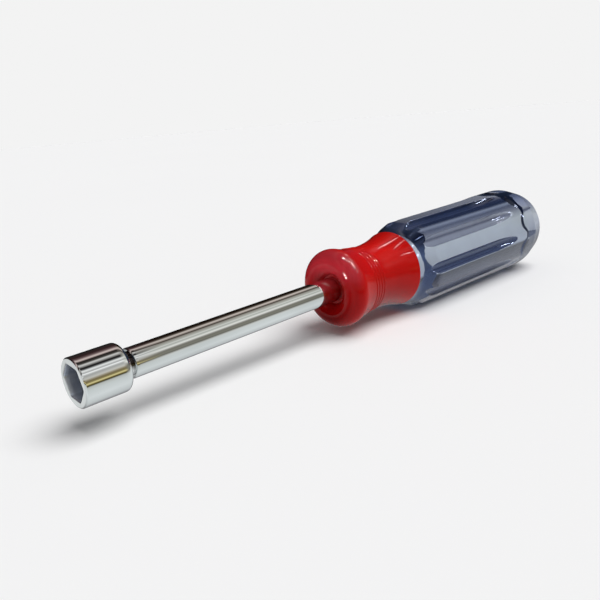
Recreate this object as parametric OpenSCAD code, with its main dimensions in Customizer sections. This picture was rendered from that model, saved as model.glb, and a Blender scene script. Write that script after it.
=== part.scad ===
// Nut driver with a chrome socket on a hollow shaft, a red collar and a fluted transparent handle.
// The tool's axis is X: the mouth of the socket is at the origin and the butt of the handle is at +X.

/* [Drive socket] */
// Width of the hexagonal hole across its flats
hex_af = 8; // [6:0.05:9]
// Depth of the hexagonal hole
hex_depth = 9; // [5:0.1:10]
// Turn of the hexagon about the axis, in degrees from level corners
hex_turn = 8; // [-30:1:30]
// Outside diameter of the socket
socket_d = 11.8; // [10.6:0.1:16]
// Length of the socket, from its mouth to its round back
socket_len = 11.7; // [11:0.1:24]
// Chamfer round the outside of the mouth
mouth_chamfer = 0.25; // [0.1:0.05:0.6]
// Radius of the round back of the socket
back_r = 1.3; // [0.5:0.1:2]
// Diameter of the bare neck behind the socket
neck_d = 5.8; // [5.7:0.1:6.4]
// Length of the bare neck
neck_len = 1.7; // [0.4:0.1:4]
// Length of the stem that is pressed into the shaft
stem_len = 6; // [4:0.5:40]
// Diameter of the hole through the stem, for a long stud
stud_bore_d = 4; // [2:0.1:4.6]

/* [Shaft] */
// Outside diameter of the shaft
shaft_d = 7.4; // [6.6:0.1:8.4]
// Inside diameter of the shaft
tube_bore_d = 5.7; // [5:0.1:6]
// Chamfer at the front end of the shaft
shaft_chamfer = 0.25; // [0.1:0.05:0.4]
// Length of the blade, from the mouth of the socket to the front of the collar
blade_len = 80; // [50:0.1:200]
// Length of shaft that is held inside the collar and the handle
held_len = 92; // [52:0.5:95]
// Length of the two wings that keep the shaft from turning in the handle
wing_len = 14; // [6:0.5:18]
// Height of each wing above the shaft
wing_rise = 1.4; // [0.6:0.1:2.5]
// Thickness of each wing
wing_t = 1.6; // [1:0.1:2.4]
// Distance of the wings from the hidden end of the shaft
wing_inset = 3; // [1:0.5:5]

/* [Collar] */
// Largest diameter of the collar, at its front rim
collar_d = 23.8; // [22:0.1:27]
// Length of the collar, from its front to the handle
collar_len = 29.7; // [27:0.1:34]
// Radius of the round front rim
rim_r = 3.9; // [2:0.05:4.5]
// Diameter of the waist
waist_d = 20.2; // [18.5:0.1:21]
// Distance of the waist from the front of the collar
waist_at = 16.7; // [15:0.1:19]
// Depth of the dimple round the shaft, inside the front rim
dimple_depth = 2.4; // [0.3:0.1:3]
// Number of fine rings on the waist
ring_count = 4; // [1:1:6]
// Distance of the first ring from the front of the collar
ring_at = 10.3; // [8:0.1:12]
// Spacing of the rings
ring_pitch = 1.35; // [1:0.05:2]
// Radius of each ring's bead
ring_r = 0.45; // [0.2:0.05:0.6]
// Height of each ring above the waist
ring_rise = 0.16; // [0.05:0.01:0.2]

/* [Handle] */
// Length of the handle behind the collar
handle_len = 79.5; // [70:0.5:110]
// Diameter of the handle behind its front shoulder, measured over the round body
grip_front_d = 29.4; // [27:0.1:33]
// Diameter of the handle at its rear band
grip_rear_d = 30.3; // [27:0.1:34]
// Drop from the edge of the collar to the plain lead of the handle
lead_drop = 0.25; // [0:0.05:1]
// Length of the plain lead behind the collar
lead_len = 2; // [0.3:0.1:4]
// Length of the tapered front shoulder
shoulder_len = 6.4; // [3:0.1:10]
// Number of flats, and of flutes between them
flute_count = 10; // [8:1:12]
// Depth of each flat below the round body
flat_depth = 0.45; // [0.2:0.05:0.6]
// Length of the bevel that eases the front end of each flat
flat_bevel = 0.6; // [0.6:0.1:1.2]
// Length of the plain round band between the flats and the tapered butt
band_len = 8.9; // [4:0.1:20]
// Length over which each flat rises to the round rear band
flat_ramp = 2.2; // [1:0.1:4]
// Radius of the cutter that forms the flutes
flute_r = 2.1; // [1.8:0.1:2.4]
// Depth of the flutes below the round body
flute_depth = 1.8; // [1:0.1:2]
// Distance of the tips of the flutes from the ends of the flats
tip_gap = 3.5; // [0.5:0.1:10]
// Length over which each flute rises to the surface
flute_ramp = 18.5; // [8:0.5:22]
// Length of the tapered butt behind the rear band
butt_len = 10.3; // [8:0.1:16]
// Slope of the tapered butt, in degrees from the axis
butt_angle = 16; // [5:1:30]
// Radius of the edge round the end face
butt_r = 4.5; // [1:0.1:5]
// Diameter of the nose that is cemented into the collar
nose_d = 14; // [11:0.1:16]
// Length of the nose
nose_len = 16; // [8:0.5:20]

/* [Hidden] */
$fn = 96;
hex_sides = 6;
// Running gap of every pressed or cemented fit, on the radius
fit_gap = 0.02;
// Space left at the blind ends, so that the flat faces meet first
end_gap = 0.3;
// Overrun of every cut past the surface that it leaves
cut = 1;
// Overrun of the round edge at the butt past the two faces beside it
edge_overrun = 0.02;

hex_corner_d = hex_af / cos(180 / hex_sides);
level_corner_turn = 90;
stem_d = tube_bore_d - 2 * fit_gap;
shaft_front = socket_len + neck_len;
shaft_end = blade_len + held_len;

collar_r = collar_d / 2;
waist_r = waist_d / 2;
rim_centre_r = collar_r - rim_r;
// The waist is one arc that leaves the rim in a smooth line
waist_drop = collar_r - waist_r;
waist_arc_r = (pow(waist_at - rim_r, 2) / waist_drop + waist_drop) / 2 - rim_r;
waist_centre_r = waist_r + waist_arc_r;
rim_share = rim_r / (waist_arc_r + rim_r);
join_at = rim_r + (waist_at - rim_r) * rim_share;
join_r = rim_centre_r + (waist_centre_r - rim_centre_r) * rim_share;
flare_r = waist_radius(collar_len);
collar_bore_d = shaft_d + 2 * fit_gap;
nose_socket_d = nose_d + 2 * fit_gap;

handle_at = blade_len + collar_len;
lead_r = flare_r - lead_drop;
front_r = grip_front_d / 2;
rear_r = grip_rear_d / 2;
grip_at = lead_len + shoulder_len;
butt_at = handle_len - butt_len;
flat_end = butt_at - band_len;
flute_end = flat_end - tip_gap - flute_ramp;
grip_taper = atan((rear_r - front_r) / (butt_at - grip_at));
shoulder_slope = (front_r - lead_r) / shoulder_len;
// The bevel leans half as much as the shoulder, and starts where the flat would meet it
bevel_at = grip_at - flat_depth / shoulder_slope + flat_bevel;
bevel_angle = atan(shoulder_slope) / 2;
flute_floor_r = front_r - flute_depth;
flute_pitch = 360 / flute_count;
// The flutes run out along an arc, as a round cutter leaves them
run_r = (pow(flute_ramp, 2) / flute_depth + flute_depth) / 2;
run_angle = acos(1 - (flute_depth + cut) / run_r);
butt_centre_at = handle_len - butt_r;
butt_centre_r = rear_r - (butt_centre_at - butt_at) * tan(butt_angle) - butt_r / cos(butt_angle);
bore_end = shaft_end - handle_at + end_gap;

// Radius of the waist's arc at a distance from the front of the collar
function waist_radius(at) = waist_centre_r - sqrt(pow(waist_arc_r, 2) - pow(at - waist_at, 2));

// Radius of the round body of the grip at a distance from the front of the handle
function grip_radius(at) = front_r + (at - grip_at) * tan(grip_taper);

// Lays a shape that stands on Z along the tool's axis, at a distance from the mouth
module along_axis(at) {
    translate([at, 0, 0])
        rotate([0, 90, 0])
            children();
}

// A flat ring of profile, from the axis out to a radius
module band(r, from, to) {
    translate([0, from])
        square([r, to - from]);
}

// The socket, its neck and its stem as one turned outline
module socket_profile() {
    r = socket_d / 2;
    difference() {
        union() {
            band(r, 0, socket_len - back_r);
            band(r - back_r, 0, socket_len);
            intersection() {
                translate([r - back_r, socket_len - back_r])
                    circle(r = back_r);
                translate([r - back_r, socket_len - back_r])
                    square([back_r, back_r]);
            }
        }
        polygon([
            [r - mouth_chamfer, 0],
            [r + cut, 0],
            [r + cut, mouth_chamfer + cut],
            [r, mouth_chamfer]
        ]);
    }
    band(neck_d / 2, 0, shaft_front);
    band(stem_d / 2, 0, shaft_front + stem_len);
}

module drive_socket() {
    color([0.80, 0.81, 0.82])
        along_axis(0)
            difference() {
                rotate_extrude()
                    socket_profile();
                translate([0, 0, -cut])
                    rotate(level_corner_turn + hex_turn)
                        cylinder(d = hex_corner_d, h = hex_depth + cut, $fn = hex_sides);
                cylinder(d = stud_bore_d, h = shaft_front + stem_len + cut);
            }
}

// The two wings as one bar across the shaft, wider by a gap where it is a slot
module wing_bar(len, gap) {
    width = shaft_d + 2 * (wing_rise + gap);
    thickness = wing_t + 2 * gap;
    translate([-width / 2, -thickness / 2, 0])
        cube([width, thickness, len]);
}

module shaft() {
    len = shaft_end - shaft_front;
    r = shaft_d / 2;
    color([0.78, 0.79, 0.80])
        along_axis(shaft_front)
            difference() {
                union() {
                    rotate_extrude()
                        polygon([
                            [0, 0],
                            [r - shaft_chamfer, 0],
                            [r, shaft_chamfer],
                            [r, len],
                            [0, len]
                        ]);
                    translate([0, 0, len - wing_inset - wing_len])
                        wing_bar(wing_len, 0);
                }
                translate([0, 0, -cut])
                    cylinder(d = tube_bore_d, h = len + 2 * cut);
            }
}

// The collar's outline: a round rim with a dimple inside it, an arc for the waist and flare, and fine rings
module collar_profile() {
    band(rim_centre_r, dimple_depth, join_at);
    intersection() {
        translate([rim_centre_r, rim_r])
            circle(r = rim_r);
        band(collar_r, 0, join_at);
    }
    difference() {
        band(max(join_r, flare_r), join_at, collar_len);
        translate([waist_centre_r, waist_at])
            circle(r = waist_arc_r, $fn = 360);
    }
    for (i = [0 : ring_count - 1]) {
        at = ring_at + i * ring_pitch;
        translate([waist_radius(at) + ring_rise - ring_r, at])
            circle(r = ring_r, $fn = 32);
    }
}

module collar() {
    color([0.76, 0.06, 0.05])
        along_axis(blade_len)
            difference() {
                rotate_extrude()
                    collar_profile();
                translate([0, 0, -cut])
                    cylinder(d = collar_bore_d, h = collar_len + 2 * cut);
                translate([0, 0, collar_len - nose_len - end_gap])
                    cylinder(d = nose_socket_d, h = nose_len + end_gap + cut);
            }
}

// The handle's round body: nose, lead, shoulder, grip, rear band and butt
module handle_profile() {
    edge_at = butt_centre_at + butt_r * sin(butt_angle);
    band(nose_d / 2, -nose_len, 0);
    intersection() {
        polygon([
            [0, 0],
            [lead_r, 0],
            [lead_r, lead_len],
            [front_r, grip_at],
            [rear_r, butt_at],
            [rear_r - butt_len * tan(butt_angle), handle_len],
            [0, handle_len]
        ]);
        union() {
            band(rear_r + front_r, -cut, edge_at);
            band(butt_centre_r, 0, handle_len + cut);
            translate([butt_centre_r, butt_centre_at])
                circle(r = butt_r + edge_overrun);
        }
    }
}

// The rear band and butt, which the flats run out against
module rear_band() {
    flat_r = grip_radius(flat_end) - flat_depth;
    ramp_slope = flat_depth / flat_ramp;
    top_r = flat_r + flat_depth + cut;
    top_at = flat_end + (flat_depth + cut) / ramp_slope;
    rotate_extrude()
        polygon([
            [0, flat_end],
            [flat_r, flat_end],
            [top_r, top_at],
            [top_r, handle_len + cut],
            [0, handle_len + cut]
        ]);
}

// One cut that leaves a flat along the grip, with a bevel at its front end
module flat_cut() {
    width = 2 * front_r * sin(flute_pitch / 2);
    height = flat_depth + cut;
    translate([front_r - flat_depth, 0, grip_at])
        rotate([0, grip_taper, 0]) {
            translate([0, -width / 2, -grip_at])
                cube([height, width, handle_len]);
            translate([0, -width / 2, bevel_at - grip_at])
                rotate([0, bevel_angle, 0])
                    translate([0, 0, -shoulder_len])
                        cube([height, width, shoulder_len]);
        }
}

// One flute: a straight groove, and a groove that runs out of the grip behind it
module flute_cut() {
    translate([flute_floor_r + flute_r, 0, grip_at])
        rotate([0, grip_taper, 0]) {
            translate([0, 0, -grip_at - cut])
                cylinder(r = flute_r, h = flute_end + cut);
            translate([run_r, 0, flute_end - grip_at])
                rotate([90, 0, 180])
                    rotate_extrude(angle = run_angle)
                        translate([run_r, 0])
                            circle(r = flute_r);
        }
}

module handle() {
    color([0.42, 0.47, 0.66])
        along_axis(handle_at)
            difference() {
                rotate_extrude()
                    handle_profile();
                for (i = [0 : flute_count - 1]) {
                    rotate(i * flute_pitch)
                        difference() {
                            flat_cut();
                            rear_band();
                        }
                    rotate((i + 1 / 2) * flute_pitch)
                        flute_cut();
                }
                translate([0, 0, -nose_len - cut])
                    cylinder(d = shaft_d + 2 * fit_gap, h = nose_len + bore_end + cut);
                translate([0, 0, -nose_len - cut])
                    wing_bar(nose_len + cut + bore_end - wing_inset, fit_gap);
            }
}

drive_socket();
shaft();
collar();
handle();
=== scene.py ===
import math

import bpy
import numpy as np
from mathutils import Matrix, Vector


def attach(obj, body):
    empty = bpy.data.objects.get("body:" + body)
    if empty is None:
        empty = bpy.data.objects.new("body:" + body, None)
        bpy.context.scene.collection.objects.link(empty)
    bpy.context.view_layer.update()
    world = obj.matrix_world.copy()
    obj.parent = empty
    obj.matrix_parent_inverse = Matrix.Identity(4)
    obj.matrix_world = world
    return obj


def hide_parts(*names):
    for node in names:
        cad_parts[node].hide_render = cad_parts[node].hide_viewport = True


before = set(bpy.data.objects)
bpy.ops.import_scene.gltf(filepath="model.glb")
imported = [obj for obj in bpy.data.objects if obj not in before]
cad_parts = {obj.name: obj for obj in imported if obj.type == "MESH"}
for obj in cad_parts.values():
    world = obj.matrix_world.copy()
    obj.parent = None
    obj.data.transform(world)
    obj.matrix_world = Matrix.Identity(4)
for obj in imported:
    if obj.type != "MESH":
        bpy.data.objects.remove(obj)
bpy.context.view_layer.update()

MM = 0.001
TAU = 2 * math.pi

# Sizes of the solids, in millimetres
SOCKET_R = 5.9
SOCKET_LEN = 11.7
HEX_AF = 8.0
HEX_DEPTH = 9.0
HEX_CORNER_AT = math.radians(98)
HEX_SIDES = 6
MOUTH_CHAMFER = 0.25
BACK_R = 1.3
NECK_R = 2.9
NECK_LEN = 1.7
STEM_LEN = 6.0
STEM_R = 2.83
STUD_BORE_R = 2.0

SHAFT_R = 3.7
TUBE_BORE_R = 2.85
SHAFT_CHAMFER = 0.25
SHAFT_FRONT = SOCKET_LEN + NECK_LEN
BLADE_LEN = 80.0
SHAFT_END = BLADE_LEN + 92.0

COLLAR_R = 11.9
COLLAR_LEN = 29.7
RIM_R = 3.9
WAIST_R = 10.1
WAIST_AT = 16.7
DIMPLE_DEPTH = 2.4
RING_COUNT = 4
RING_AT = 10.3
RING_PITCH = 1.35
RING_R = 0.45
RING_RISE = 0.16
FLARE_EDGE_R = 0.25
BORE_R = 3.72
NOSE_SOCKET_R = 7.02

HANDLE_AT = BLADE_LEN + COLLAR_LEN
HANDLE_LEN = 79.5
FRONT_R = 14.7
REAR_R = 15.15
LEAD_DROP = 0.25
LEAD_LEN = 2.0
SHOULDER_LEN = 6.4
FLUTE_COUNT = 10
FLAT_DEPTH = 0.45
FLAT_BEVEL = 0.6
BAND_LEN = 8.9
FLAT_RAMP = 2.2
FLUTE_R = 2.1
FLUTE_DEPTH = 1.8
TIP_GAP = 3.5
FLUTE_RAMP = 18.5
BUTT_LEN = 10.3
BUTT_ANGLE = math.radians(16)
BUTT_R = 4.5
NOSE_R = 7.0
NOSE_LEN = 16.0
END_GAP = 0.3
# The handle's front face stands this far off the collar, so that the two faces don't coincide
FACE_GAP = 0.03
# The clear plastic is cemented to the shaft, so its bore is drawn a little inside the metal
GRIP_BORE_R = 3.68
# Where a flute cuts this deep into the land its edge starts, and then the flute itself
EDGE_FROM = 0.03
FLUTE_FROM = 0.2
# Painted shade: the ramps at the rear ends of the flats are painted dark: heights, then where that starts and ends
# behind each flat
RAMP_FROM = ((12.5, 13.2, 14.2), (0.0, -1.0, -3.2))
RAMP_SEEN = ((8.0, 12.0, 13.2, 14.2), (1.4, 4.0, 4.4, 2.2))
# Painted shade: behind the ramps the plain band is painted dark in line with each flute: half the width in degrees by
# height, and the end
TAIL_TURN = ((9.0, 12.5), (5.5, 9.0))
TAIL_END = 71.0
# Painted light on the sides of the lead: heights, then lengths
LEAD_LIT_HAZE = ((-6.0, -3.0, 0.7, 5.2, 8.5, 10.6, 11.5), (0.0, 1.3, 2.1, 1.8, 1.6, 1.0, 0.0))
# Painted light: where the lit area of the lands starts behind the handle's front: heights, then distances
LIT_HAZE_START = (
    (-14, -13, -11.3, -8.2, -5, -2.5, 0, 1.2, 2.7, 4.3, 5.8, 7.2, 8.4, 9.4, 10.7, 11.5, 12, 13.5, 14.5),
    (5.2, 7.4, 5.2, 7.4, 5.2, 6, 6, 4.4, 3.4, 3, 3.5, 4.4, 5.5, 6, 6.4, 5.6, 7, 6.5, 5.2),
)
# The butt's painted light and shade start this far from where its chamfer starts
BUTT_LIGHT_AT = -5.0

# Mesh detail: numbers of points, steps along the axis in millimetres and angles in degrees
SIDE_POINTS = 32
SHAFT_TURNS = 160
SHAFT_POINTS = 40
COLLAR_TURNS = 320
EDGE_POINTS = 4
BODY_POINTS = 12
BACK_POINTS = 16
HOLE_POINTS = 8
RIM_POINTS = 90
FLARE_POINTS = 7
BORE_POINTS = 12
BUTT_POINTS = 20
WAIST_STEP = 0.3
RING_STEP = 0.045
FINE_STEP = 0.2
EVEN_STEP = 0.8
RUN_STEP = 0.5
FINE_FRONT = 10
FINE_BEFORE = 1
FINE_BEHIND = 5
SHARP_DEG = 35
GRIP_SHARP_DEG = 40
# Points around one flute: the borders of its parts, as shares of the pitch, and how many lie in each
SHARE_STOPS = (0.0, 0.2, 0.32, 0.68, 0.8, 1.0)
SHARE_POINTS = (4, 10, 16, 10, 4)
# Eased edges in millimetres
METAL_EDGE = 0.06
HOLE_LIP = 0.14
CORNER_EASE = 0.12
TUBE_END_CHAMFER = 0.3
RING_EASE = 0.03
GRIP_EDGE = 0.1
GRIP_EASE = 0.22
LEAD_EASE = 0.5
RAMP_EASE = 0.1
LAND_EASE = 0.12

# Material slots of the pieces that have more than one surface
HOLE_SLOT, NECK_SLOT = 1, 2
CLEAR_SLOT, LIT_HAZE_SLOT, BUTT_SLOT, FLUTE_SLOT, EDGE_SLOT, RAMP_SLOT = range(6)

# Places worked out from the sizes
GRIP_AT = LEAD_LEN + SHOULDER_LEN
BUTT_AT = HANDLE_LEN - BUTT_LEN
FLAT_END = BUTT_AT - BAND_LEN
FLUTE_END = FLAT_END - TIP_GAP - FLUTE_RAMP
GRIP_SLOPE = (REAR_R - FRONT_R) / (BUTT_AT - GRIP_AT)
RUN_R = (FLUTE_RAMP ** 2 / FLUTE_DEPTH + FLUTE_DEPTH) / 2
RIM_CENTRE_R = COLLAR_R - RIM_R
WAIST_DROP = COLLAR_R - WAIST_R
WAIST_ARC_R = ((WAIST_AT - RIM_R) ** 2 / WAIST_DROP + WAIST_DROP) / 2 - RIM_R
WAIST_CENTRE_R = WAIST_R + WAIST_ARC_R
RIM_SHARE = RIM_R / (WAIST_ARC_R + RIM_R)
JOIN_AT = RIM_R + (WAIST_AT - RIM_R) * RIM_SHARE


def waist_radius(at):
    return WAIST_CENTRE_R - np.sqrt(WAIST_ARC_R ** 2 - (at - WAIST_AT) ** 2)


FLARE_R = float(waist_radius(COLLAR_LEN))
LEAD_R = FLARE_R - LEAD_DROP
SHOULDER_SLOPE = (FRONT_R - LEAD_R) / SHOULDER_LEN
BEVEL_AT = GRIP_AT - FLAT_DEPTH / SHOULDER_SLOPE + FLAT_BEVEL
BEVEL_SLOPE = math.tan(math.atan(SHOULDER_SLOPE) / 2)
BUTT_CENTRE_AT = HANDLE_LEN - BUTT_R
BUTT_CENTRE_R = REAR_R - (BUTT_CENTRE_AT - BUTT_AT) * math.tan(BUTT_ANGLE) - BUTT_R / math.cos(BUTT_ANGLE)
BORE_END = SHAFT_END - HANDLE_AT + END_GAP


# Mesh building

def arc(centre_at, centre_r, radius, start, end, count):
    """Points (at, r) on an arc. An angle of 0 points outwards and 90 points along the axis."""
    angles = np.radians(np.linspace(start, end, count))
    return [(centre_at + radius * math.sin(a), centre_r + radius * math.cos(a)) for a in angles]


def rings_from(profile, turns):
    """One ring of points, in metres, for each (at, r) of a profile; r may hold one value for each turn."""
    rings = np.zeros((len(profile), len(turns), 3))
    for i, (at, r) in enumerate(profile):
        rings[i, :, 0] = at
        rings[i, :, 1] = r * np.sin(turns)
        rings[i, :, 2] = -r * np.cos(turns)
    return rings * MM


def mesh_from(name, rings, loop, sharp_deg):
    """A closed mesh from rings of points: the last ring meets the first, or both ends close at the axis."""
    count, around = rings.shape[:2]
    points = rings.reshape(-1, 3).tolist()
    nxt = [(j + 1) % around for j in range(around)]
    faces = []
    for i in range(count if loop else count - 1):
        a, b = i * around, ((i + 1) % count) * around
        faces += [(a + j, a + nxt[j], b + nxt[j], b + j) for j in range(around)]
    if not loop:
        for ring, flip in ((0, True), (count - 1, False)):
            pole = len(points)
            points.append(rings[ring].mean(axis=0).tolist())
            start = ring * around
            for j in range(around):
                edge = (start + j, start + nxt[j])
                faces.append((edge[1], edge[0], pole) if flip else (edge[0], edge[1], pole))
    mesh = bpy.data.meshes.new(name)
    mesh.from_pydata(points, [], faces)
    mesh.update()
    if signed_volume(mesh) < 0:
        mesh.flip_normals()
    mesh.shade_smooth()
    mesh.set_sharp_from_angle(angle=math.radians(sharp_deg))
    obj = bpy.data.objects.new(name, mesh)
    bpy.context.scene.collection.objects.link(obj)
    return obj


def paint(obj, strips):
    """Gives each quad of the strips between the rings its material index."""
    indices = np.zeros(len(obj.data.polygons), dtype=np.int32)
    indices[:strips.size] = strips.ravel()
    obj.data.polygons.foreach_set("material_index", indices)


def signed_volume(mesh):
    mesh.calc_loop_triangles()
    points = np.zeros(len(mesh.vertices) * 3)
    mesh.vertices.foreach_get("co", points)
    points = points.reshape(-1, 3)
    corners = np.zeros(len(mesh.loop_triangles) * 3, dtype=np.int32)
    mesh.loop_triangles.foreach_get("vertices", corners)
    a, b, c = (points[corners.reshape(-1, 3)[:, k]] for k in range(3))
    return float(np.einsum("ij,ij->i", a, np.cross(b, c)).sum()) / 6


def smooth_min(a, b, size):
    share = np.clip(0.5 + 0.5 * (b - a) / size, 0, 1)
    return b + (a - b) * share - size * share * (1 - share)


def smooth_max(a, b, size):
    return -smooth_min(-a, -b, size)


# The four pieces

def build_socket():
    count = HEX_SIDES * SIDE_POINTS
    turns = HEX_CORNER_AT + np.arange(count) * TAU / count
    side_turn = TAU / HEX_SIDES
    off_centre = np.mod(turns - HEX_CORNER_AT, side_turn) - side_turn / 2
    # The corners of the hole are eased a little, as a broach leaves them
    hexagon = (HEX_AF / 2) / np.cos(off_centre)
    hexagon = smooth_min(hexagon, HEX_AF / 2 / math.cos(side_turn / 2) - CORNER_EASE, CORNER_EASE * 2)
    edge, lip = METAL_EDGE, HOLE_LIP
    outer = [(0.0, SOCKET_R - MOUTH_CHAMFER - edge)]
    outer += arc(edge, SOCKET_R - MOUTH_CHAMFER - edge, edge, -90, -45, EDGE_POINTS)[1:]
    outer += arc(MOUTH_CHAMFER + edge, SOCKET_R - edge, edge, -45, 0, EDGE_POINTS)
    outer += [(at, SOCKET_R) for at in np.linspace(1, SOCKET_LEN - BACK_R, BODY_POINTS)]
    outer += arc(SOCKET_LEN - BACK_R, SOCKET_R - BACK_R, BACK_R, 0, 90, BACK_POINTS)[1:]
    outer += [(SOCKET_LEN, r) for r in np.linspace(SOCKET_R - BACK_R, NECK_R, EDGE_POINTS)[1:]]
    neck_start = len(outer) - 1
    outer += [(SHAFT_FRONT, NECK_R), (SHAFT_FRONT, STEM_R), (SHAFT_FRONT + STEM_LEN, STEM_R)]
    outer += [(SHAFT_FRONT + STEM_LEN, STUD_BORE_R), (HEX_DEPTH, STUD_BORE_R)]
    inner = [(HEX_DEPTH, hexagon)]
    inner += [(at, hexagon) for at in np.linspace(HEX_DEPTH, lip, HOLE_POINTS)[1:]]
    inner += [(lip * 0.3, hexagon + lip * 0.3), (0.0, hexagon + lip)]
    obj = mesh_from("socket_body", rings_from(outer + inner, turns), True, SHARP_DEG)
    strips = np.zeros((len(outer + inner), len(turns)), dtype=np.int32)
    strips[neck_start - 1:len(outer) - 1] = NECK_SLOT
    strips[len(outer) - 1:-2] = HOLE_SLOT
    paint(obj, strips)
    return obj


def build_shaft():
    turns = np.arange(SHAFT_TURNS) * TAU / SHAFT_TURNS
    edge = METAL_EDGE
    profile = [(SHAFT_FRONT, TUBE_BORE_R), (SHAFT_FRONT, SHAFT_R - SHAFT_CHAMFER - edge)]
    profile += arc(SHAFT_FRONT + edge, SHAFT_R - SHAFT_CHAMFER - edge, edge, -90, -45, EDGE_POINTS)[1:]
    profile += arc(SHAFT_FRONT + SHAFT_CHAMFER + edge, SHAFT_R - edge, edge, -45, 0, EDGE_POINTS)
    plain_end = SHAFT_END - TUBE_END_CHAMFER
    profile += [(at, SHAFT_R) for at in np.linspace(SHAFT_FRONT + 1, plain_end, SHAFT_POINTS)]
    profile += [(SHAFT_END, SHAFT_R - TUBE_END_CHAMFER), (SHAFT_END, TUBE_BORE_R)]
    obj = mesh_from("shaft_tube", rings_from(profile, turns), True, SHARP_DEG)
    hidden = np.array([at > HANDLE_AT - NOSE_LEN for at, _ in profile], dtype=np.int32)
    paint(obj, np.repeat(hidden[:, None], len(turns), axis=1))
    return obj


def build_collar():
    turns = np.arange(COLLAR_TURNS) * TAU / COLLAR_TURNS
    dimple_angle = math.degrees(math.asin((DIMPLE_DEPTH - RIM_R) / RIM_R))
    join_angle = math.degrees(math.asin((JOIN_AT - RIM_R) / RIM_R))
    profile = [(DIMPLE_DEPTH, BORE_R)]
    profile += arc(RIM_R, RIM_CENTRE_R, RIM_R, -180 - dimple_angle, join_angle, RIM_POINTS)
    rings_start, rings_end = RING_AT - RING_PITCH / 2, RING_AT + RING_PITCH * RING_COUNT
    at = np.concatenate([
        np.arange(JOIN_AT + WAIST_STEP, rings_start, WAIST_STEP),
        np.arange(rings_start, rings_end, RING_STEP),
        np.arange(rings_end, COLLAR_LEN - FLARE_EDGE_R, WAIST_STEP),
    ])
    r = waist_radius(at)
    for i in range(RING_COUNT):
        ring_at = RING_AT + i * RING_PITCH
        inside = np.clip(RING_R ** 2 - (at - ring_at) ** 2, 0, None)
        bead = waist_radius(ring_at) + RING_RISE - RING_R + np.sqrt(inside)
        r = smooth_max(r, np.where(inside > 0, bead, 0), RING_EASE)
    profile += list(zip(at, r))
    edge_r = float(waist_radius(COLLAR_LEN - FLARE_EDGE_R)) - FLARE_EDGE_R
    profile += arc(COLLAR_LEN - FLARE_EDGE_R, edge_r, FLARE_EDGE_R, 0, 90, FLARE_POINTS)
    profile += [(COLLAR_LEN, NOSE_SOCKET_R), (COLLAR_LEN - NOSE_LEN - END_GAP, NOSE_SOCKET_R)]
    profile += [(COLLAR_LEN - NOSE_LEN - END_GAP, BORE_R)]
    profile = [(p + BLADE_LEN, q) for p, q in profile]
    return mesh_from("collar_sleeve", rings_from(profile, turns), True, SHARP_DEG)


def handle_radius(at, turns):
    """Radius of the handle at a distance from its front and at each turn about the axis, with the material slots."""
    pitch = TAU / FLUTE_COUNT
    off_land = np.mod(turns + pitch / 2, pitch) - pitch / 2
    off_flute = np.mod(turns, pitch) - pitch / 2
    shoulder = LEAD_R + (at - LEAD_LEN) * SHOULDER_SLOPE
    body = smooth_max(np.full_like(turns, LEAD_R), shoulder, LEAD_EASE)
    body = smooth_min(body, FRONT_R + (at - GRIP_AT) * GRIP_SLOPE, GRIP_EASE)
    body = smooth_min(body, REAR_R - (at - BUTT_AT) * math.tan(BUTT_ANGLE), GRIP_EASE)
    flat = FRONT_R - FLAT_DEPTH + (at - GRIP_AT) * GRIP_SLOPE
    bevel = FRONT_R - FLAT_DEPTH + (BEVEL_AT - GRIP_AT) * GRIP_SLOPE - (BEVEL_AT - at) * BEVEL_SLOPE
    plane = smooth_min(flat, bevel, GRIP_EASE) if at < GRIP_AT + LEAD_LEN else flat
    land = plane / np.cos(off_land)
    flat_end_r = FRONT_R - FLAT_DEPTH + (FLAT_END - GRIP_AT) * GRIP_SLOPE
    run_out = flat_end_r + (at - FLAT_END) * FLAT_DEPTH / FLAT_RAMP
    behind_flat = at - FLAT_END - (np.minimum(land, body) - plane) * FLAT_RAMP / FLAT_DEPTH
    height = -np.cos(turns) * body
    # Painted shade: the ramps behind the flats take dark tones
    on_ramp = (behind_flat > np.interp(height, *RAMP_FROM)) & (behind_flat < np.interp(height, *RAMP_SEEN))
    land = smooth_max(land, np.full_like(land, run_out), RAMP_EASE)
    radius = smooth_min(body, land, LAND_EASE)
    centre = FRONT_R - FLUTE_DEPTH + FLUTE_R + (at - GRIP_AT) * GRIP_SLOPE
    if at > FLUTE_END:
        centre += RUN_R - math.sqrt(RUN_R ** 2 - min(at - FLUTE_END, RUN_R) ** 2)
    half_chord_squared = FLUTE_R ** 2 - (centre * np.sin(off_flute)) ** 2
    inside = half_chord_squared > 0
    groove = centre * np.cos(off_flute) - np.sqrt(np.where(inside, half_chord_squared, 0))
    cut = np.where(inside, smooth_min(radius, groove, GRIP_EASE), radius)
    # Painted light: the lands behind their fronts and the sides of the lead take the lit, hazy tones
    lit_haze = (at > np.interp(height, *LIT_HAZE_START)) | (at < np.interp(height, *LEAD_LIT_HAZE))
    slots = np.where(lit_haze, LIT_HAZE_SLOT, CLEAR_SLOT)
    slots = np.where((radius - cut > EDGE_FROM) & (at > GRIP_AT), EDGE_SLOT, slots)
    slots = np.where(radius - cut > FLUTE_FROM, FLUTE_SLOT, slots)
    # Painted light and shade on the butt
    slots = np.where(at > BUTT_AT + BUTT_LIGHT_AT, BUTT_SLOT, slots)
    # Painted shade: dark tails in line with the flutes behind the ramps
    taper = np.sqrt(np.clip((TAIL_END - at) / (TAIL_END - FLAT_END), 0, 1))
    tail_turn = np.radians(np.interp(height, *TAIL_TURN))
    tail = (np.abs(off_flute) < tail_turn * taper) & (behind_flat > 0)
    slots = np.where(tail, FLUTE_SLOT, slots)
    return cut, np.where(on_ramp, RAMP_SLOT, slots)


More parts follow.
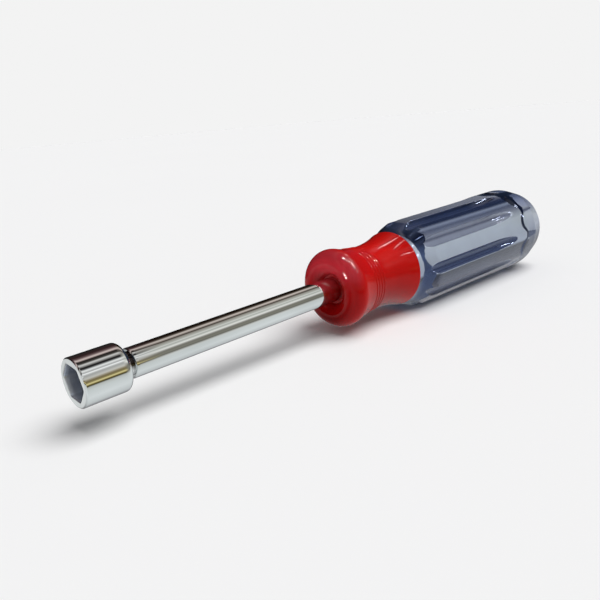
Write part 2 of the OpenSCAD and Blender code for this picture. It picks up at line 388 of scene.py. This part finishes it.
def build_handle():
    pitch = TAU / FLUTE_COUNT
    shares = np.concatenate([
        np.linspace(start, end, count, endpoint=False)
        for start, end, count in zip(SHARE_STOPS, SHARE_STOPS[1:], SHARE_POINTS)
    ])
    turns = (np.arange(FLUTE_COUNT)[:, None] + shares[None, :]).ravel() * pitch
    inner = [(BORE_END, GRIP_BORE_R * s) for s in (0.5, 1.0)]
    inner += [(at, GRIP_BORE_R) for at in np.linspace(BORE_END, -NOSE_LEN, BORE_POINTS)[1:]]
    inner += [(-NOSE_LEN, NOSE_R), (FACE_GAP, NOSE_R), (FACE_GAP, LEAD_R - GRIP_EDGE)]
    fine_start, fine_end = FLAT_END - FINE_BEFORE, FLAT_END + FINE_BEHIND
    ats = np.concatenate([
        np.arange(FACE_GAP + GRIP_EDGE, FINE_FRONT, FINE_STEP),
        np.arange(FINE_FRONT, FLUTE_END, EVEN_STEP),
        np.arange(FLUTE_END, fine_start, RUN_STEP),
        np.arange(fine_start, fine_end, FINE_STEP),
        np.arange(fine_end, BUTT_CENTRE_AT + BUTT_R * math.sin(BUTT_ANGLE), RUN_STEP),
    ])
    outer, slots = [], []
    for at in ats:
        radius, slots_here = handle_radius(at, turns)
        outer.append((at, radius))
        slots.append(slots_here)
    end = arc(BUTT_CENTRE_AT, BUTT_CENTRE_R, BUTT_R, math.degrees(BUTT_ANGLE), 90, BUTT_POINTS)
    end += [(HANDLE_LEN, BUTT_CENTRE_R * s) for s in (0.75, 0.5, 0.25, 0.05)]
    profile = [(at + HANDLE_AT, r) for at, r in inner + outer + end]
    obj = mesh_from("handle_grip", rings_from(profile, turns), False, GRIP_SHARP_DEG)
    # The last two rows are the faces that close the bore and the butt at the axis
    strips = np.zeros((len(profile) + 1, len(turns)), dtype=np.int32)
    strips[len(inner):len(inner) + len(outer)] = np.array(slots)
    strips[len(inner) + len(outer):] = BUTT_SLOT
    strips[-2] = CLEAR_SLOT
    paint(obj, strips)
    return obj


# Materials

# The middle of a noise value, which seldom leaves it
NOISE_MIDDLE = (0.3, 0.7)
LENGTHWISE = (0.3, 1, 1)
LONG_RELIEF = (0.25, 1, 1)


def new_material(name):
    material = bpy.data.materials.new(name)
    material.use_nodes = True
    tree = material.node_tree
    tree.nodes.clear()
    out = tree.nodes.new("ShaderNodeOutputMaterial")
    shader = tree.nodes.new("ShaderNodeBsdfPrincipled")
    tree.links.new(shader.outputs["BSDF"], out.inputs["Surface"])
    return material, tree, shader, out


def noise(tree, scale, detail, stretch=(1, 1, 1)):
    """A noise value over the object's own coordinates; the scale is per metre."""
    coords = tree.nodes.new("ShaderNodeTexCoord")
    mapping = tree.nodes.new("ShaderNodeMapping")
    mapping.inputs["Scale"].default_value = stretch
    texture = tree.nodes.new("ShaderNodeTexNoise")
    texture.inputs["Scale"].default_value = scale
    texture.inputs["Detail"].default_value = detail
    tree.links.new(coords.outputs["Object"], mapping.inputs["Vector"])
    tree.links.new(mapping.outputs["Vector"], texture.inputs["Vector"])
    return texture.outputs["Fac"]


def ramp(tree, value, stops):
    """A colour ramp over a value, from (position, colour) stops."""
    node = tree.nodes.new("ShaderNodeValToRGB")
    elements = node.color_ramp.elements
    while len(elements) < len(stops):
        elements.new(0.5)
    for element, (position, colour) in zip(elements, stops):
        element.position = position
        element.color = (*colour, 1)
    tree.links.new(value, node.inputs["Fac"])
    return node.outputs["Color"]


def map_range(tree, value, start, end, low=0.0, high=1.0):
    """Maps the range from start to end to the one from low to high."""
    node = tree.nodes.new("ShaderNodeMapRange")
    for name, number in (("From Min", start), ("From Max", end), ("To Min", low), ("To Max", high)):
        node.inputs[name].default_value = number
    tree.links.new(value, node.inputs["Value"])
    return node.outputs["Result"]


def spread(tree, value, low, high):
    """Maps the middle of a noise value to a range."""
    return map_range(tree, value, *NOISE_MIDDLE, low, high)


def bump(tree, shader, height, strength, distance):
    node = tree.nodes.new("ShaderNodeBump")
    node.inputs["Strength"].default_value = strength
    node.inputs["Distance"].default_value = distance
    tree.links.new(height, node.inputs["Height"])
    tree.links.new(node.outputs["Normal"], shader.inputs["Normal"])


def along(tree, kind, low, high):
    """How far a point lies between two values in millimetres: of its height, its radius or its place on the axis."""
    coords = tree.nodes.new("ShaderNodeTexCoord")
    split = tree.nodes.new("ShaderNodeSeparateXYZ")
    tree.links.new(coords.outputs["Object"], split.inputs["Vector"])
    value = split.outputs["X" if kind == "axis" else "Z"]
    if kind == "radius":
        flat = tree.nodes.new("ShaderNodeCombineXYZ")
        tree.links.new(split.outputs["Y"], flat.inputs["Y"])
        tree.links.new(split.outputs["Z"], flat.inputs["Z"])
        length = tree.nodes.new("ShaderNodeVectorMath")
        length.operation = "LENGTH"
        tree.links.new(flat.outputs["Vector"], length.inputs[0])
        value = length.outputs["Value"]
    return map_range(tree, value, low * MM, high * MM)


def blend(tree, kind, share, first, second):
    """Mixes or multiplies two colours."""
    node = tree.nodes.new("ShaderNodeMix")
    node.data_type = "RGBA"
    node.blend_type = kind
    if isinstance(share, float):
        node.inputs[0].default_value = share
    else:
        tree.links.new(share, node.inputs[0])
    for colour, socket in ((first, node.inputs[6]), (second, node.inputs[7])):
        if isinstance(colour, tuple):
            socket.default_value = (*colour, 1)
        else:
            tree.links.new(colour, socket)
    return node.outputs[2]


def mottle(tree, colour, scale, detail, darkest):
    """Darkens a colour unevenly, at most to a share of itself."""
    low, high = NOISE_MIDDLE
    stops = [(low, (darkest,) * 3), (high, (1.0, 1.0, 1.0))]
    return blend(tree, "MULTIPLY", 1.0, colour, ramp(tree, noise(tree, scale, detail), stops))


def metal(name, dark, light, rough, relief, shade=None):
    """Steel with a tone between two colours; a shade holds two multipliers of painted shade, below and above the
    axis.
    """
    material, tree, shader, _ = new_material(name)
    shader.inputs["Metallic"].default_value = 1.0
    colour = ramp(tree, noise(tree, scale=90, detail=3, stretch=LENGTHWISE), [(0.35, dark), (0.65, light)])
    if shade:
        side = ramp(tree, along(tree, "height", -NECK_R, NECK_R), list(zip((0.35, 0.6), shade)))
        colour = blend(tree, "MULTIPLY", 1.0, colour, side)
    tree.links.new(colour, shader.inputs["Base Color"])
    tree.links.new(spread(tree, noise(tree, scale=240, detail=4), *rough), shader.inputs["Roughness"])
    bump(tree, shader, noise(tree, scale=160, detail=2, stretch=LONG_RELIEF), relief, distance=0.0004)
    return material


def red_plastic():
    material, tree, shader, _ = new_material("red_plastic")
    shader.inputs["IOR"].default_value = RED_IOR
    shader.inputs["Specular IOR Level"].default_value = RED_SPECULAR
    # Painted light and shade on the rim's face and in the dimple, by radius
    face_light = ramp(tree, along(tree, "radius", SHAFT_R, COLLAR_R), RED_FACE_LIGHT)
    # Painted sheen: the face pales upwards
    pure = ramp(tree, along(tree, "height", *RED_RISE), [(0.0, RED_LOW), (1.0, (1, 1, 1))])
    face = blend(tree, "MULTIPLY", 1.0, face_light, pure)
    colour = blend(tree, "MIX", along(tree, "axis", *RED_FRONT), RED_SIDE, face)
    # Painted light and shade: the face is paler above and darker below
    shade = ramp(tree, along(tree, "height", -COLLAR_R, COLLAR_R), RED_SHADE)
    colour = blend(tree, "MULTIPLY", along(tree, "radius", COLLAR_R, RIM_CENTRE_R + 1), colour, shade)
    mottled = mottle(tree, colour, scale=120, detail=4, darkest=RED_MOTTLE)
    tree.links.new(mottled, shader.inputs["Base Color"])
    tree.links.new(spread(tree, noise(tree, scale=500, detail=3), *RED_ROUGH), shader.inputs["Roughness"])
    bump(tree, shader, noise(tree, scale=900, detail=3), strength=0.025, distance=0.0002)
    return material


def blue_plastic(name, through, tones, rough):
    """Transparent plastic with painted light and shade by height; the share let through is smaller on the light
    areas.
    """
    material, tree, shader, out = new_material(name)
    shader.inputs["Transmission Weight"].default_value = through
    shader.inputs["IOR"].default_value = BLUE_IOR
    shader.inputs["Specular Tint"].default_value = BLUE_TINT
    span = REAR_R * 2
    colour = ramp(tree, along(tree, "height", -REAR_R, REAR_R), [(z / span + 0.5, c) for z, c in tones])
    mottled = mottle(tree, colour, scale=150, detail=3, darkest=BLUE_MOTTLE)
    tree.links.new(mottled, shader.inputs["Base Color"])
    tree.links.new(spread(tree, noise(tree, scale=300, detail=3), *rough), shader.inputs["Roughness"])
    bump(tree, shader, noise(tree, scale=220, detail=2), strength=0.03, distance=0.0003)
    absorb = tree.nodes.new("ShaderNodeVolumeAbsorption")
    absorb.inputs["Color"].default_value = BLUE_PASSED
    absorb.inputs["Density"].default_value = BLUE_DENSITY
    tree.links.new(absorb.outputs["Volume"], out.inputs["Volume"])
    return material


def place(obj, materials, node):
    for material in materials:
        obj.data.materials.append(material)
    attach(obj, "root")
    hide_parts(node)


RED_IOR = 1.5
RED_SPECULAR = 0.12
RED_ROUGH = (0.018, 0.032)
RED_MOTTLE = 0.88
# Painted light and shade: the red's tone by radius, from the collar's outside, over the face of its rim, into the
# dimple around the shaft
RED_FACE_LIGHT = [
    (0.0, (0.66, 0.04, 0.05)), (0.13, (0.7, 0.04, 0.05)), (0.3, (0.72, 0.036, 0.05)),
    (0.42, (0.72, 0.036, 0.05)), (0.66, (0.64, 0.03, 0.042)), (0.84, (0.46, 0.024, 0.034)),
    (1.0, (0.42, 0.022, 0.031)),
]
# Painted sheen: below the shaft the face is a purer red, by these multipliers, and pales between these heights
RED_LOW = (0.97, 0.15, 0.13)
RED_RISE = (0.5, 5.5)
# Behind the face, from the first of these places to the second, the sides are a purer red, without the face's painted
# light and shade
RED_FRONT = (BLADE_LEN + 4.5, BLADE_LEN + 2.0)
RED_SIDE = (0.48, 0.006, 0.005)
# Painted light and shade: the face of the rim is paler above and darker below
RED_SHADE = [
    (0.08, (0.22, 0.18, 0.18)), (0.35, (0.55, 0.42, 0.42)), (0.6, (0.9, 0.85, 0.85)), (0.85, (1.3, 1.35, 1.4)),
]
BLUE_IOR = 1.475
BLUE_TINT = (0.4, 0.55, 1.0, 1)
BLUE_MOTTLE = 0.94
# What the blue plastic lets pass, and how much it takes from light per metre
BLUE_PASSED = (0.08, 0.24, 0.6, 1)
BLUE_DENSITY = 58.0
# Tones of the plastic's surfaces by height in millimetres, set to the light in the photograph
# All these tones are painted light and shade: each surface is lighter or darker by height where light falls on it
CLEAR_TONES = [
    (-15, (0.2, 0.25, 0.46)), (4, (0.17, 0.25, 0.5)), (6.5, (0.09, 0.14, 0.3)), (8, (0.02, 0.03, 0.08)),
    (11, (0.02, 0.03, 0.08)), (12.5, (0.08, 0.12, 0.24)), (14.5, (0.1, 0.14, 0.27)),
]
LIT_HAZE_TONES = [
    (-14, (0.8, 0.8, 0.85)), (-11, (0.7, 0.7, 0.75)), (-8, (0.27, 0.27, 0.3)), (-5.7, (0.2, 0.2, 0.235)),
    (-2.4, (0.09, 0.09, 0.1)), (-1.4, (0.69, 0.79, 0.97)), (7, (0.8, 0.9, 1.0)), (10.0, (0.3, 0.335, 0.44)),
    (11.1, (0.15, 0.18, 0.28)), (11.8, (0.38, 0.45, 0.62)), (12.4, (0.025, 0.04, 0.1)), (13.4, (0.04, 0.055, 0.13)),
    (14.2, (0.26, 0.28, 0.36)), (14.7, (0.66, 0.7, 0.83)),
]
BUTT_TONES = [
    (-15, (0.28, 0.28, 0.32)), (-4, (0.24, 0.24, 0.28)), (-1, (0.3, 0.33, 0.42)), (2.5, (0.68, 0.76, 0.93)),
    (7, (0.82, 0.9, 1.0)), (9.5, (0.52, 0.58, 0.76)), (11.3, (0.44, 0.5, 0.7)), (12.4, (0.3, 0.36, 0.56)),
    (13.3, (0.16, 0.2, 0.34)),
]
EDGE_TONES = [
    (-15, (0.31, 0.31, 0.36)), (-5, (0.35, 0.35, 0.41)), (-1.5, (0.75, 0.84, 1.0)), (7, (0.8, 0.89, 1.0)),
    (10.4, (0.6, 0.66, 0.8)), (11.3, (0.3, 0.34, 0.48)), (12.6, (0.08, 0.1, 0.2)), (14.3, (0.07, 0.09, 0.18)),
    (14.9, (0.4, 0.42, 0.52)),
]
FLUTE_TONES = [
    (-15, (0.2, 0.23, 0.32)), (-8, (0.3, 0.32, 0.4)), (-3, (0.12, 0.16, 0.3)), (3, (0.13, 0.17, 0.33)),
    (6.5, (0.45, 0.5, 0.64)), (7.8, (0.54, 0.6, 0.74)), (8.6, (0.24, 0.27, 0.4)), (9.5, (0.7, 0.76, 0.9)),
    (11.3, (0.1, 0.14, 0.3)), (13.2, (0.05, 0.075, 0.17)), (14.2, (0.012, 0.02, 0.05)),
]
RAMP_TONES = [
    (-15, (0.2, 0.25, 0.46)), (-3, (0.14, 0.18, 0.34)), (0, (0.06, 0.08, 0.16)), (4, (0.04, 0.055, 0.11)),
    (8, (0.02, 0.03, 0.08)), (14.8, (0.012, 0.02, 0.05)),
]
# Ranges of roughness
POLISHED = (0.012, 0.03)
SATIN = (0.4, 0.5)
NECK_ROUGH = (0.1, 0.16)
CLEAR_ROUGH = (0.012, 0.035)
HAZE_ROUGH = (0.1, 0.18)
BUTT_ROUGH = (0.16, 0.24)
# Painted shade: the neck is darkened above the axis, where the socket's back and the shaft's front close in over it
NECK_SHADE = ((1, 1, 1), (0.06, 0.05, 0.05))

socket, shaft, collar, handle = build_socket(), build_shaft(), build_collar(), build_handle()
place(socket, [
    metal("socket_metal", (0.6, 0.62, 0.62), (0.68, 0.7, 0.7), POLISHED, 0.02),
    metal("hole_metal", (0.62, 0.66, 0.74), (0.82, 0.86, 0.94), SATIN, 0.3),
    metal("neck_metal", (0.5, 0.5, 0.5), (0.6, 0.6, 0.6), NECK_ROUGH, 0.05, NECK_SHADE),
], "drive_socket")
place(shaft, [
    metal("shaft_metal", (0.58, 0.6, 0.6), (0.66, 0.68, 0.68), POLISHED, 0.02),
    metal("hidden_metal", (0.55, 0.58, 0.62), (0.66, 0.69, 0.73), SATIN, 0.05),
], "shaft")
place(collar, [red_plastic()], "collar")
place(handle, [
    blue_plastic("clear_blue", 0.7, CLEAR_TONES, CLEAR_ROUGH),
    blue_plastic("lit_haze_blue", 0.52, LIT_HAZE_TONES, HAZE_ROUGH),
    blue_plastic("butt_blue", 0.5, BUTT_TONES, BUTT_ROUGH),
    blue_plastic("flute_blue", 0.6, FLUTE_TONES, CLEAR_ROUGH),
    blue_plastic("edge_blue", 0.5, EDGE_TONES, HAZE_ROUGH),
    blue_plastic("ramp_blue", 0.7, RAMP_TONES, CLEAR_ROUGH),
], "handle")


# Floor: the tool rests on the front edge of a flat and on the rear band

REST_FRONT = (117.8, -14.25)
REST_REAR = (172.3, -15.14)
FLOOR_SIZE = 14.0
FLOOR_CELLS = 24
FLOOR_TONE = 0.8815
FLOOR_MOTTLE = 0.002
FLOOR_ROUGH = 0.9


def build_floor():
    slope = (REST_REAR[1] - REST_FRONT[1]) / (REST_REAR[0] - REST_FRONT[0])
    half = FLOOR_SIZE / 2
    cells = FLOOR_CELLS
    span = np.linspace(-half, half, cells + 1)
    points = [(x, y, REST_FRONT[1] * MM + (x - REST_FRONT[0] * MM) * slope) for x in span for y in span]
    row = cells + 1
    faces = [(i * row + j, (i + 1) * row + j, (i + 1) * row + j + 1, i * row + j + 1)
             for i in range(cells) for j in range(cells)]
    mesh = bpy.data.meshes.new("floor")
    mesh.from_pydata(points, [], faces)
    mesh.update()
    obj = bpy.data.objects.new("floor", mesh)
    bpy.context.scene.collection.objects.link(obj)
    material, tree, shader, _ = new_material("floor_paper")
    shader.inputs["Specular IOR Level"].default_value = 0.0
    shader.inputs["Roughness"].default_value = FLOOR_ROUGH
    tones = FLOOR_TONE - FLOOR_MOTTLE, FLOOR_TONE + FLOOR_MOTTLE
    stops = [(at, (tone,) * 3) for at, tone in zip(NOISE_MIDDLE, tones)]
    tree.links.new(ramp(tree, noise(tree, scale=3, detail=2), stops), shader.inputs["Base Color"])
    obj.data.materials.append(material)
    obj.visible_transmission = False
    obj.visible_glossy = False


build_floor()


# Studio: what the camera, the matt surfaces and the reflections see around the tool

BACKDROP = (0.896, 0.896, 0.896)
AMBIENT = (0.27, 0.27, 0.275)
BAND_LOW, BAND_HIGH = -170.0, 190.0
# Strips of light and dark around the tool's axis, by the angle above the camera's side of the floor
BANDS = [
    (-156, (0.85, 0.87, 0.87)), (-148, (0.3, 0.3, 0.31)), (-128, (0.3, 0.3, 0.31)), (-105, (0.7, 0.73, 0.74)),
    (-65, (0.92, 0.96, 0.97)), (-30, (0.78, 0.82, 0.82)), (-17, (0.66, 0.68, 0.65)), (-11, (0.05, 0.04, 0.01)),
    (-6.5, (0.25, 0.2, 0.07)), (-2, (1.0, 0.86, 0.42)), (3, (0.36, 0.3, 0.13)), (9.5, (0.23, 0.18, 0.09)),
    (16, (0.5, 0.44, 0.33)), (21, (0.75, 0.73, 0.68)), (33.5, (0.5, 0.5, 0.49)), (38, (0.75, 0.75, 0.74)),
    (42.5, (1.3, 1.3, 1.3)), (46.5, (0.5, 0.5, 0.5)), (56, (1.15, 1.15, 1.14)), (61, (0.3, 0.3, 0.3)),
    (65, (0.03, 0.03, 0.03)), (71, (0.02, 0.02, 0.02)), (75, (0.25, 0.24, 0.23)), (84, (0.9, 0.87, 0.85)),
    (91, (0.08, 0.07, 0.06)), (103, (0.01, 0.01, 0.01)), (107, (0.35, 0.27, 0.25)), (112, (0.95, 0.78, 0.74)),
    (116, (0.7, 0.56, 0.53)), (124, (0.2, 0.13, 0.13)), (136, (0.05, 0.025, 0.025)), (170, (0.02, 0.02, 0.02)),
]
# The strips further along the tool, and where they take over from the first
FAR_BANDS = [
    (-156, (0.85, 0.87, 0.87)), (-148, (0.3, 0.3, 0.31)), (-128, (0.3, 0.3, 0.31)), (-105, (0.7, 0.73, 0.74)),
    (-65, (0.92, 0.96, 0.97)), (-30, (0.84, 0.88, 0.88)), (-20, (0.86, 0.88, 0.87)), (-13, (0.62, 0.62, 0.58)),
    (-5, (0.2, 0.19, 0.165)), (3, (0.29, 0.28, 0.235)), (10, (0.27, 0.26, 0.22)), (18, (0.26, 0.245, 0.21)),
    (26, (0.53, 0.515, 0.48)), (33, (1.12, 1.1, 1.05)), (41, (0.83, 0.84, 0.79)), (49, (0.55, 0.555, 0.515)),
    (57, (0.9, 0.9, 0.85)), (65, (0.6, 0.6, 0.55)), (73, (0.53, 0.51, 0.46)), (82, (0.35, 0.32, 0.28)),
    (91, (0.035, 0.025, 0.015)), (101, (0.5, 0.42, 0.38)), (111, (0.88, 0.77, 0.71)), (122, (0.2, 0.16, 0.13)),
    (135, (0.02, 0.012, 0.008)), (170, (0.01, 0.008, 0.006)),
]
BANDS_ALONG = (0.42, 0.47)
# The far end of the room is dark above the floor: how dark, and where it starts along and up
FAR_TONE = (0.03, 0.045, 0.08)
FAR_ALONG = (0.75, 0.8)
FAR_UP = (0.05, 0.15)
# What the clear plastic shows of the room, from straight below to straight above
SEEN_THROUGH = [
    (0.0, (0.1, 0.09, 0.09)), (0.4, (0.13, 0.12, 0.13)), (0.5, (0.5, 0.5, 0.52)), (0.6, (1.1, 1.1, 1.1)),
    (1.0, (1.2, 1.2, 1.2)),
]


def build_world():
    world = bpy.data.worlds.new("studio")
    world.use_nodes = True
    bpy.context.scene.world = world
    tree = world.node_tree
    tree.nodes.clear()
    out = tree.nodes.new("ShaderNodeOutputWorld")
    coords = tree.nodes.new("ShaderNodeTexCoord")
    split = tree.nodes.new("ShaderNodeSeparateXYZ")
    tree.links.new(coords.outputs["Generated"], split.inputs["Vector"])

    def math_node(kind, *values):
        node = tree.nodes.new("ShaderNodeMath")
        node.operation = kind
        for socket, value in zip(node.inputs, values):
            if isinstance(value, (int, float)):
                socket.default_value = value
            else:
                tree.links.new(value, socket)
        return node.outputs["Value"]

    def reach(axis, start, end):
        """A share that grows along one axis of the direction."""
        return map_range(tree, split.outputs[axis], start, end)

    towards = math_node("MULTIPLY", split.outputs["Y"], -1.0)
    angle = math_node("ARCTAN2", split.outputs["Z"], towards)
    wrapped = math_node("WRAP", angle, math.radians(BAND_HIGH), math.radians(BAND_HIGH - 360))
    place_in_bands = map_range(tree, wrapped, math.radians(BAND_LOW), math.radians(BAND_HIGH))
    width = BAND_HIGH - BAND_LOW
    near, far = (ramp(tree, place_in_bands, [((a - BAND_LOW) / width, c) for a, c in strips])
                 for strips in (BANDS, FAR_BANDS))
    bands = blend(tree, "MIX", reach("X", *BANDS_ALONG), near, far)
    far_share = math_node("MULTIPLY", reach("X", *FAR_ALONG), reach("Z", *FAR_UP))
    bands = blend(tree, "MIX", far_share, bands, FAR_TONE)
    height = math_node("MULTIPLY_ADD", split.outputs["Z"], 0.5, 0.5)
    through = ramp(tree, height, SEEN_THROUGH)

    def background(colour):
        shader = tree.nodes.new("ShaderNodeBackground")
        if isinstance(colour, tuple):
            shader.inputs["Color"].default_value = (*colour, 1)
        else:
            tree.links.new(colour, shader.inputs["Color"])
        return shader.outputs["Background"]

    path = tree.nodes.new("ShaderNodeLightPath")
    result = background(AMBIENT)
    for ray, colour in (("Is Glossy Ray", bands), ("Is Transmission Ray", through), ("Is Camera Ray", BACKDROP)):
        mix = tree.nodes.new("ShaderNodeMixShader")
        tree.links.new(path.outputs[ray], mix.inputs[0])
        tree.links.new(result, mix.inputs[1])
        tree.links.new(background(colour), mix.inputs[2])
        result = mix.outputs["Shader"]
    tree.links.new(result, out.inputs["Surface"])


build_world()

SUN_STRENGTH = 2.61
SUN_SPREAD = math.radians(50)
SUN_FROM = Vector((0.3, -0.4, 1.0))
LAMP_DISTANCE = 1.0
# Small lamps that only one piece reflects: direction from the tool, width and length in metres, brightness
COLLAR_LAMPS = [
    ((-0.04, -0.01, 1.0), 0.07, 0.2, 220),
    ((0.05, -0.25, 0.97), 0.07, 0.2, 220),
    ((0.22, -0.43, 0.88), 0.07, 0.2, 240),
    ((0.21, -0.56, 0.80), 0.08, 0.12, 1400),
    ((-0.95, 0.25, 0.05), 0.2, 0.08, 220),
    ((0.41, -0.16, 0.90), 0.02, 0.35, 40),
    ((0.35, -0.68, 0.64), 0.35, 0.02, 40),
    ((0.57, 0.17, 0.81), 0.02, 0.35, 40),
]
HANDLE_LAMPS = [
    ((0.74, -0.30, 0.60), 0.08, 0.08, 40),
    ((0.75, -0.57, 0.33), 0.08, 0.08, 40),
    ((0.19, -0.09, 0.98), 0.02, 0.02, 250),
    ((0.15, -0.40, 0.90), 0.02, 0.02, 25),
]
LAMP_AIM = Vector((0.1, 0.0, 0.0))


def add_light(name, kind, towards):
    data = bpy.data.lights.new(name, kind)
    obj = bpy.data.objects.new(name, data)
    obj.rotation_mode = "QUATERNION"
    obj.rotation_quaternion = (-towards).to_track_quat("-Z", "Y")
    bpy.context.scene.collection.objects.link(obj)
    return obj, data


def add_lamps(target, lamps):
    seen_by = bpy.data.collections.new(f"{target.name}_lamps")
    seen_by.objects.link(target)
    for i, (towards, width, length, brightness) in enumerate(lamps):
        direction = Vector(towards).normalized()
        lamp, data = add_light(f"{target.name}_lamp_{i}", "AREA", direction)
        lamp.location = LAMP_AIM + direction * LAMP_DISTANCE
        data.shape = "ELLIPSE"
        data.size, data.size_y = width, length
        # An ellipse of this area sends out pi times its brightness from each square metre
        area = math.pi * width * length / 4
        data.energy = brightness * math.pi * area
        lamp.visible_camera = False
        lamp.visible_diffuse = False
        lamp.visible_transmission = False
        lamp.light_linking.receiver_collection = seen_by


def build_lights():
    sun, data = add_light("soft_key", "SUN", SUN_FROM.normalized())
    data.energy = SUN_STRENGTH
    data.angle = SUN_SPREAD
    sun.visible_glossy = False
    sun.visible_transmission = False
    add_lamps(collar, COLLAR_LAMPS)
    add_lamps(handle, HANDLE_LAMPS)


build_lights()


# Camera at the photograph's angle, fitted to the outlines

CAMERA_AT = Vector((-0.05221, -0.13056, 0.05183))
CAMERA_FORWARD = Vector((0.65235, 0.70506, -0.27809))
CAMERA_UP = Vector((0.25836, 0.13808, 0.95613))
CAMERA_LENS = 39.12
CAMERA_SENSOR = 36.0
CAMERA_CLIP = 0.005


def build_camera():
    data = bpy.data.cameras.new("camera")
    data.sensor_width = CAMERA_SENSOR
    data.sensor_fit = "HORIZONTAL"
    data.lens = CAMERA_LENS
    data.clip_start = CAMERA_CLIP
    obj = bpy.data.objects.new("camera", data)
    back = -CAMERA_FORWARD.normalized()
    right = CAMERA_UP.cross(back).normalized()
    up = back.cross(right)
    turn = Matrix((right, up, back)).transposed().to_4x4()
    obj.matrix_world = Matrix.Translation(CAMERA_AT) @ turn
    bpy.context.scene.collection.objects.link(obj)
    bpy.context.scene.camera = obj


build_camera()

bpy.context.scene.view_settings.view_transform = "Standard"
